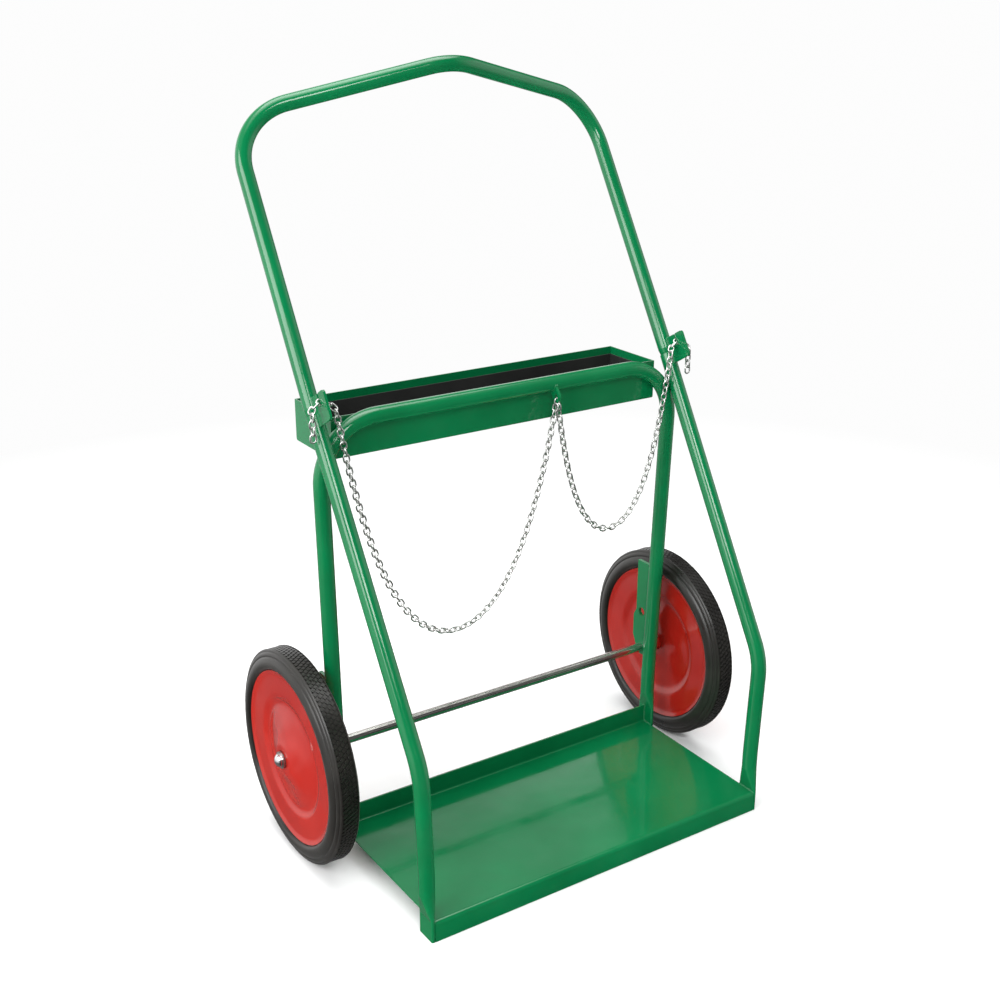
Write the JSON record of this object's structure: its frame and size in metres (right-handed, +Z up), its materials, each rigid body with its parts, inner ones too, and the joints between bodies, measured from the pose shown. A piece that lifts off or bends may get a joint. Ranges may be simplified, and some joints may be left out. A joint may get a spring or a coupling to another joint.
{
  "type": "gas cylinder cart",
  "caption": "Two-wheeled hand cart that carries an oxygen and an acetylene cylinder on a low plate, with holding chains and a tool tray.",
  "frame": {"origin": "on the floor, at the middle of the cart's outline seen from above", "axes": "+X to the cart's right, +Y to the rear, where the handle is pushed, +Z up"},
  "size_m": [0.839, 0.5393, 1.2315],
  "materials": {
    "green_enamel": "glossy green enamel on mild steel",
    "red_enamel": "glossy red enamel on pressed steel",
    "tyre_rubber": "satin black moulded rubber",
    "liner_rubber": "matt black rubber mat",
    "zinc_chain": "bright zinc plated",
    "zinc_hardware": "zinc plated",
    "bright_steel": "bright cold drawn bar",
    "chrome_cap": "polished",
    "bush_nylon": "moulded nylon"
  },
  "bodies": {
    "root": {"toe_plate": "green_enamel", "handle": "green_enamel", "rear_frame": "green_enamel", "tool_tray": "green_enamel", "tool_tray_liner": "liner_rubber", "chain_eye": "green_enamel", "chain_ring": "zinc_chain", "axle": "bright_steel", "left_front_leg": "green_enamel", "left_axle_plate": "green_enamel", "left_chain_bracket": "green_enamel", "left_axle_spacer": "zinc_hardware", "left_inner_washer": "zinc_hardware", "left_outer_washer": "zinc_hardware", "left_axle_cap": "chrome_cap", "left_chain": "zinc_chain", "right_front_leg": "green_enamel", "right_axle_plate": "green_enamel", "right_chain_bracket": "green_enamel", "right_axle_spacer": "zinc_hardware", "right_inner_washer": "zinc_hardware", "right_outer_washer": "zinc_hardware", "right_axle_cap": "chrome_cap", "right_chain": "zinc_chain"},
    "left_wheel": {"left_wheel_tyre": "tyre_rubber", "left_wheel_outer_disc": "red_enamel", "left_wheel_inner_disc": "red_enamel", "left_wheel_rim_band": "red_enamel", "left_wheel_hub": "red_enamel", "left_wheel_inner_bush": "bush_nylon", "left_wheel_outer_bush": "bush_nylon"},
    "right_wheel": {"right_wheel_tyre": "tyre_rubber", "right_wheel_outer_disc": "red_enamel", "right_wheel_inner_disc": "red_enamel", "right_wheel_rim_band": "red_enamel", "right_wheel_hub": "red_enamel", "right_wheel_inner_bush": "bush_nylon", "right_wheel_outer_bush": "bush_nylon"}
  },
  "joints": [
    {"name": "left_wheel_spin", "type": "hinge", "parent": "root", "child": "left_wheel", "pos_m": [-0.37655, 0.05312, 0.1778], "axis": [1, 0, 0], "continuous": true},
    {"name": "right_wheel_spin", "type": "hinge", "parent": "root", "child": "right_wheel", "pos_m": [0.37655, 0.05312, 0.1778], "axis": [1, 0, 0], "continuous": true}
  ]
}
